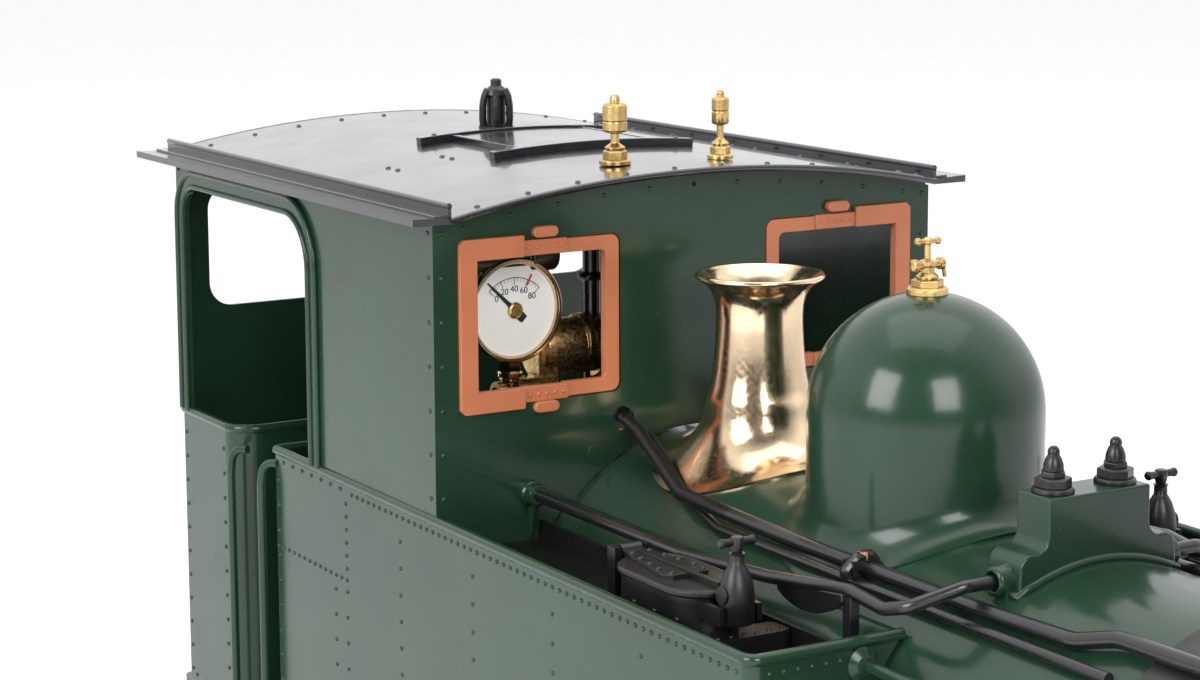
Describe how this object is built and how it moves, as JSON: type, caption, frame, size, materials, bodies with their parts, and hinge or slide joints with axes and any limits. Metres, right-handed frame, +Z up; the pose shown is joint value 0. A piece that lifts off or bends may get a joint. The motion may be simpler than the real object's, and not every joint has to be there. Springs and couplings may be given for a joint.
{
  "type": "live steam locomotive",
  "caption": "Narrow gauge live steam side tank engine with cab, polished safety valve cover, dome, sand box and outside motion, for a garden railway.",
  "frame": {"origin": "z=0 at the lowest point of the wheel flanges, below the middle of the engine's length and width", "axes": "+X towards the chimney end, +Y to the left-hand side, +Z up"},
  "size_m": [0.3616, 0.1174, 0.1746],
  "materials": {
    "green_paint": "gloss dark green enamel",
    "black_paint": "satin black enamel",
    "red_paint": "gloss red enamel",
    "terracotta_paint": "satin terracotta enamel",
    "steel": "machined steel",
    "brass": "polished brass",
    "black_enamel": "matt black"
  },
  "bodies": {
    "chassis": {"side_tanks": "green_paint", "cab_front": "green_paint", "cab_sides": "green_paint", "cab_back": "green_paint", "bunkers": "green_paint", "boiler_cladding": "green_paint", "dome": "green_paint", "sandbox": "green_paint", "handrails": "green_paint", "frame_plates": "black_paint", "frame_stretchers": "black_paint", "footplate_and_steps": "black_paint", "axle_boxes_and_springs": "black_paint", "cylinders_and_slide_bars": "black_paint", "tank_decks": "black_paint", "smokebox": "black_paint", "chimney": "black_paint", "boiler_pipes": "black_paint", "sanding_pipes": "black_paint", "cab_roof": "black_paint", "roof_strips": "black_paint", "roof_vent": "black_paint", "buffer_beams_and_couplers": "red_paint", "gas_burner": "steel", "boiler_shell": "steel", "safety_valve_bonnet": "brass", "safety_valve": "brass", "whistles": "brass", "dome_valve": "brass", "pressure_gauge": "brass", "cab_fittings": "brass"},
    "leading_wheelset": {"leading_wheelset": "steel"},
    "main_wheelset": {"main_wheelset": "steel"},
    "trailing_wheelset": {"trailing_wheelset": "steel"},
    "front_pony_truck": {"front_pony_truck": "black_paint"},
    "rear_pony_truck": {"rear_pony_truck": "black_paint"},
    "front_pony_wheelset": {"front_pony_wheelset": "steel"},
    "rear_pony_wheelset": {"rear_pony_wheelset": "steel"},
    "coupling_rod_right": {"coupling_rod_right": "steel"},
    "coupling_rod_left": {"coupling_rod_left": "steel"},
    "connecting_rod_right": {"connecting_rod_right": "steel"},
    "connecting_rod_left": {"connecting_rod_left": "steel"},
    "crosshead_right": {"crosshead_right": "steel"},
    "crosshead_left": {"crosshead_left": "steel"},
    "crank_oil_plug_right": {"crank_oil_plug_right": "steel"},
    "crank_oil_plug_left": {"crank_oil_plug_left": "steel"},
    "window_right": {"window_right": "terracotta_paint"},
    "window_left": {"window_left": "terracotta_paint"},
    "filler_lid_right": {"filler_lid_right": "black_paint"},
    "filler_lid_left": {"filler_lid_left": "black_paint"},
    "filler_clamp_right": {"filler_clamp_right": "black_paint"},
    "filler_clamp_left": {"filler_clamp_left": "black_paint"},
    "roof_hatch": {"roof_hatch": "black_paint"},
    "smokebox_door": {"smokebox_door": "black_paint"},
    "smokebox_dart_handle": {"smokebox_dart_handle": "steel"},
    "regulator_lever": {"regulator_lever": "steel"},
    "reversing_lever": {"reversing_lever": "steel"},
    "gauge_needle": {"gauge_needle": "black_enamel"},
    "dome_valve_handle": {"dome_valve_handle": "brass"},
    "safety_valve_stem": {"safety_valve_stem": "brass"}
  },
  "joints": [
    {"name": "main_axle", "type": "hinge", "parent": "chassis", "child": "main_wheelset", "pos_m": [0.002, 0, 0.021], "axis": [0, 1, 0], "continuous": true},
    {"name": "leading_axle", "type": "hinge", "parent": "chassis", "child": "leading_wheelset", "pos_m": [0.05, 0, 0.021], "axis": [0, 1, 0], "continuous": true},
    {"name": "trailing_axle", "type": "hinge", "parent": "chassis", "child": "trailing_wheelset", "pos_m": [-0.046, 0, 0.021], "axis": [0, 1, 0], "continuous": true},
    {"name": "coupling_rod_right_pin", "type": "hinge", "parent": "main_wheelset", "child": "coupling_rod_right", "pos_m": [0.0066, -0.03225, 0.0164], "axis": [0, 1, 0], "continuous": true},
    {"name": "coupling_rod_left_pin", "type": "hinge", "parent": "main_wheelset", "child": "coupling_rod_left", "pos_m": [0.0066, 0.03225, 0.0256], "axis": [0, 1, 0], "continuous": true},
    {"name": "connecting_rod_right_pin", "type": "hinge", "parent": "main_wheelset", "child": "connecting_rod_right", "pos_m": [0.0066, -0.0354, 0.0164], "axis": [0, 1, 0], "continuous": true},
    {"name": "connecting_rod_left_pin", "type": "hinge", "parent": "main_wheelset", "child": "connecting_rod_left", "pos_m": [0.0066, 0.0354, 0.0256], "axis": [0, 1, 0], "continuous": true},
    {"name": "crank_plug_right_turn", "type": "hinge", "parent": "main_wheelset", "child": "crank_oil_plug_right", "pos_m": [0.0043, -0.0295, 0.0187], "axis": [0, 1, 0], "continuous": true},
    {"name": "crank_plug_left_turn", "type": "hinge", "parent": "main_wheelset", "child": "crank_oil_plug_left", "pos_m": [0.0043, 0.0295, 0.0233], "axis": [0, 1, 0], "continuous": true},
    {"name": "crosshead_right_stroke", "type": "hinge", "parent": "crank_oil_plug_right", "child": "crosshead_right", "pos_m": [0.0066, -0.039, 0.021], "axis": [0, 1, 0], "continuous": true},
    {"name": "crosshead_left_stroke", "type": "hinge", "parent": "crank_oil_plug_left", "child": "crosshead_left", "pos_m": [0.0066, 0.039, 0.021], "axis": [0, 1, 0], "continuous": true},
    {"name": "front_pony_swivel", "type": "hinge", "parent": "chassis", "child": "front_pony_truck", "pos_m": [0.098, 0, 0.02], "axis": [0, 0, 1], "range_deg": [-8, 8]},
    {"name": "rear_pony_swivel", "type": "hinge", "parent": "chassis", "child": "rear_pony_truck", "pos_m": [-0.092, 0, 0.02], "axis": [0, 0, 1], "range_deg": [-8, 8]},
    {"name": "front_pony_axle", "type": "hinge", "parent": "front_pony_truck", "child": "front_pony_wheelset", "pos_m": [0.134, 0, 0.0125], "axis": [0, 1, 0], "continuous": true},
    {"name": "rear_pony_axle", "type": "hinge", "parent": "rear_pony_truck", "child": "rear_pony_wheelset", "pos_m": [-0.128, 0, 0.0125], "axis": [0, 1, 0], "continuous": true},
    {"name": "window_right_pivot", "type": "hinge", "parent": "chassis", "child": "window_right", "pos_m": [-0.04595, -0.0314, 0.1367], "axis": [0, 0, 1], "range_deg": [0, 35]},
    {"name": "window_left_pivot", "type": "hinge", "parent": "chassis", "child": "window_left", "pos_m": [-0.04595, 0.0314, 0.1367], "axis": [0, 0, -1], "range_deg": [0, 35]},
    {"name": "filler_lid_right_hinge", "type": "hinge", "parent": "chassis", "child": "filler_lid_right", "pos_m": [0.0011, -0.0423, 0.1071], "axis": [0, -1, 0], "range_deg": [0, 100]},
    {"name": "filler_lid_left_hinge", "type": "hinge", "parent": "chassis", "child": "filler_lid_left", "pos_m": [0.0011, 0.0423, 0.1071], "axis": [0, -1, 0], "range_deg": [0, 100]},
    {"name": "filler_clamp_right_pin", "type": "hinge", "parent": "chassis", "child": "filler_clamp_right", "pos_m": [0.0321, -0.0423, 0.1043], "axis": [0, 1, 0], "range_deg": [0, 80]},
    {"name": "filler_clamp_left_pin", "type": "hinge", "parent": "chassis", "child": "filler_clamp_left", "pos_m": [0.0321, 0.0423, 0.1043], "axis": [0, 1, 0], "range_deg": [0, 80]},
    {"name": "roof_hatch_slide", "type": "hinge", "parent": "chassis", "child": "roof_hatch", "pos_m": [-0.096, 0, -0.087], "axis": [1, 0, 0], "range_deg": [-1.6, 1.6]},
    {"name": "smokebox_door_hinge", "type": "hinge", "parent": "chassis", "child": "smokebox_door", "pos_m": [0.139, -0.0303, 0.0795], "axis": [0, 0, -1], "range_deg": [0, 110]},
    {"name": "smokebox_dart_turn", "type": "hinge", "parent": "smokebox_door", "child": "smokebox_dart_handle", "pos_m": [0.1417, 0, 0.0795], "axis": [1, 0, 0], "range_deg": [0, 90]},
    {"name": "regulator_turn", "type": "hinge", "parent": "chassis", "child": "regulator_lever", "pos_m": [-0.07, 0, 0.097], "axis": [1, 0, 0], "range_deg": [0, 60]},
    {"name": "reversing_lever_throw", "type": "hinge", "parent": "chassis", "child": "reversing_lever", "pos_m": [-0.083, -0.0213, 0.05], "axis": [0, 1, 0], "range_deg": [-20, 20]},
    {"name": "gauge_needle_turn", "type": "hinge", "parent": "chassis", "child": "gauge_needle", "pos_m": [-0.0564, -0.0312, 0.1369], "axis": [-1, 0, 0], "range_deg": [0, 250]},
    {"name": "dome_valve_turn", "type": "hinge", "parent": "chassis", "child": "dome_valve_handle", "pos_m": [0.023, 0, 0.155], "axis": [0, 0, 1], "range_deg": [0, 270]},
    {"name": "safety_valve_lift", "type": "slide", "parent": "chassis", "child": "safety_valve_stem", "axis": [0, 0, 1], "range_m": [0, 0.0008]}
  ],
  "couplings": [
    {"joint": "leading_axle", "follows": "main_axle", "ratio": 1},
    {"joint": "trailing_axle", "follows": "main_axle", "ratio": 1},
    {"joint": "coupling_rod_right_pin", "follows": "main_axle", "ratio": -1},
    {"joint": "coupling_rod_left_pin", "follows": "main_axle", "ratio": -1},
    {"joint": "connecting_rod_right_pin", "follows": "main_axle", "ratio": -1},
    {"joint": "connecting_rod_left_pin", "follows": "main_axle", "ratio": -1},
    {"joint": "crank_plug_right_turn", "follows": "main_axle", "ratio": -2},
    {"joint": "crank_plug_left_turn", "follows": "main_axle", "ratio": -2},
    {"joint": "crosshead_right_stroke", "follows": "main_axle", "ratio": 1},
    {"joint": "crosshead_left_stroke", "follows": "main_axle", "ratio": 1}
  ]
}
